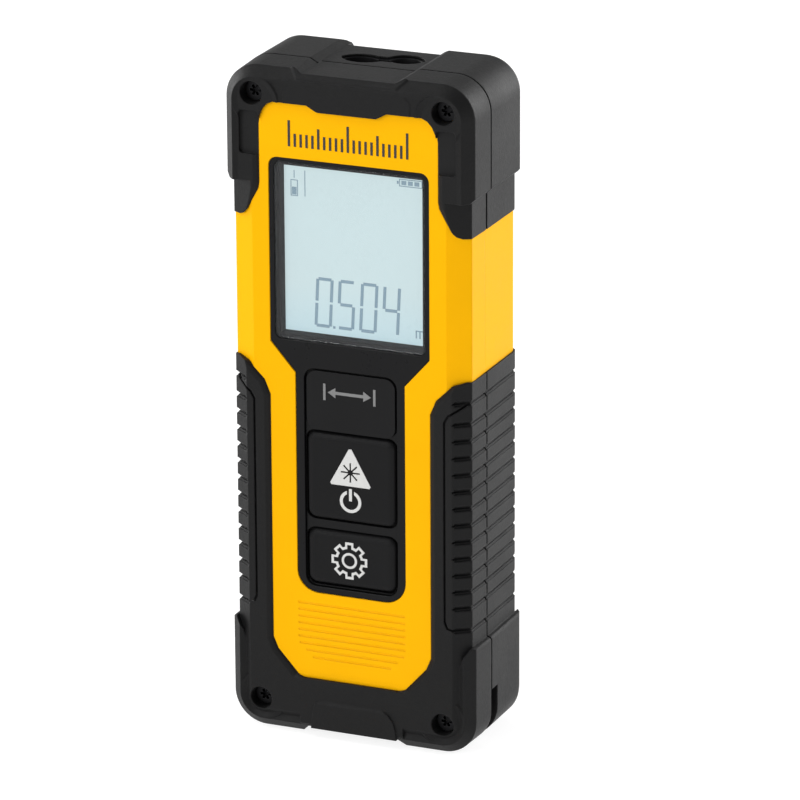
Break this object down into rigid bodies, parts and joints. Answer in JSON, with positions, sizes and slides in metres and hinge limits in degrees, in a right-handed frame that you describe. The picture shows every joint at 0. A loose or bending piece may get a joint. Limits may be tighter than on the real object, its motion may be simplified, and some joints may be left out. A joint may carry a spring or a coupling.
{
  "type": "laser distance meter",
  "caption": "Pocket laser distance meter with a screen, two press keys, rubber bumpers with ribbed grips, top optics, a strap slot and a hinged battery door.",
  "frame": {"origin": "centre of the foot's bounding box, where the meter stands on its lower end", "axes": "+Z along the length towards the optics, -Y out of the screen, +X towards the strap slot side"},
  "size_m": [0.0446, 0.0254, 0.1163],
  "materials": {
    "yellow_shell": "fine satin moulding texture",
    "dark_seal": "soft foam",
    "black_steel": "black oxide",
    "black_rubber": "matte moulded grain",
    "black_gloss": "semi gloss",
    "dark_ink": "printed",
    "clear_window": "polished",
    "dark_plastic": "satin",
    "lcd_face": "pale backlit face",
    "lcd_ink": "flat",
    "white_guide": "translucent white",
    "pink_silicone": "soft",
    "black_plastic": "satin",
    "grey_ink": "printed",
    "key_black": "satin silicone key",
    "white_ink": "printed",
    "spring_steel": "bright nickel plate",
    "green_board": "solder mask",
    "chip_black": "moulded",
    "bright_screw": "zinc plate",
    "cast_block": "glass filled",
    "lens_glass": "coated",
    "brass_tube": "turned",
    "gold_can": "plated",
    "amber_flex": "polyimide",
    "tinted_window": "polished",
    "cell_jacket": "printed foil jacket",
    "red_wire": "insulated",
    "blank_label": "blank foil"
  },
  "bodies": {
    "housing": {"front_shell": "yellow_shell", "rear_shell": "yellow_shell", "shell_seal": "dark_seal", "shell_screws": "black_steel", "front_upper_bumper": "black_rubber", "rear_upper_bumper": "black_rubber", "front_lower_grip": "black_rubber", "rear_lower_grip": "black_rubber", "front_panel": "black_gloss", "scale_print": "dark_ink", "screen_window": "clear_window", "window_gasket": "dark_seal", "lcd_frame": "dark_plastic", "lcd_glass": "lcd_face", "lcd_segments": "lcd_ink", "lcd_backlight": "white_guide", "zebra_connector": "pink_silicone", "keypad_plate": "black_plastic", "range_symbol": "grey_ink", "measure_dome": "spring_steel", "settings_dome": "spring_steel", "main_board": "green_board", "board_chips": "chip_black", "buzzer": "chip_black", "board_screws": "bright_screw", "optics_block": "cast_block", "optics_screws": "bright_screw", "receiver_lens": "lens_glass", "receiver_sensor": "chip_black", "laser_barrel": "brass_tube", "laser_lens": "lens_glass", "laser_diode": "gold_can", "sensor_flex": "amber_flex", "aperture_insert": "black_plastic", "aperture_window": "tinted_window", "battery_cell_left": "cell_jacket", "battery_cell_right": "cell_jacket", "battery_springs": "spring_steel", "battery_contacts": "spring_steel", "battery_leads": "red_wire", "strap_bar": "bright_screw", "rating_label": "blank_label"},
    "measure_key": {"measure_key": "key_black", "measure_symbol": "white_ink"},
    "settings_key": {"settings_key": "key_black", "settings_symbol": "white_ink"},
    "battery_door": {"battery_door": "black_plastic", "door_pad": "dark_seal"},
    "door_latch": {"door_latch": "black_plastic"}
  },
  "joints": [
    {"name": "measure_press", "type": "slide", "parent": "housing", "child": "measure_key", "axis": [0, 1, 0], "range_m": [0, 0.0006], "stiffness_N_per_m": 1500, "deforming": ["measure_dome"]},
    {"name": "settings_press", "type": "slide", "parent": "housing", "child": "settings_key", "axis": [0, 1, 0], "range_m": [0, 0.0006], "stiffness_N_per_m": 1500, "deforming": ["settings_dome"]},
    {"name": "door_hinge", "type": "hinge", "parent": "housing", "child": "battery_door", "pos_m": [0, 0.0111, 0.012], "axis": [-1, 0, 0], "range_deg": [0, 75]},
    {"name": "catch_slide", "type": "slide", "parent": "battery_door", "child": "door_latch", "axis": [0, 0, -1], "range_m": [0, 0.0012], "stiffness_N_per_m": 1200}
  ]
}
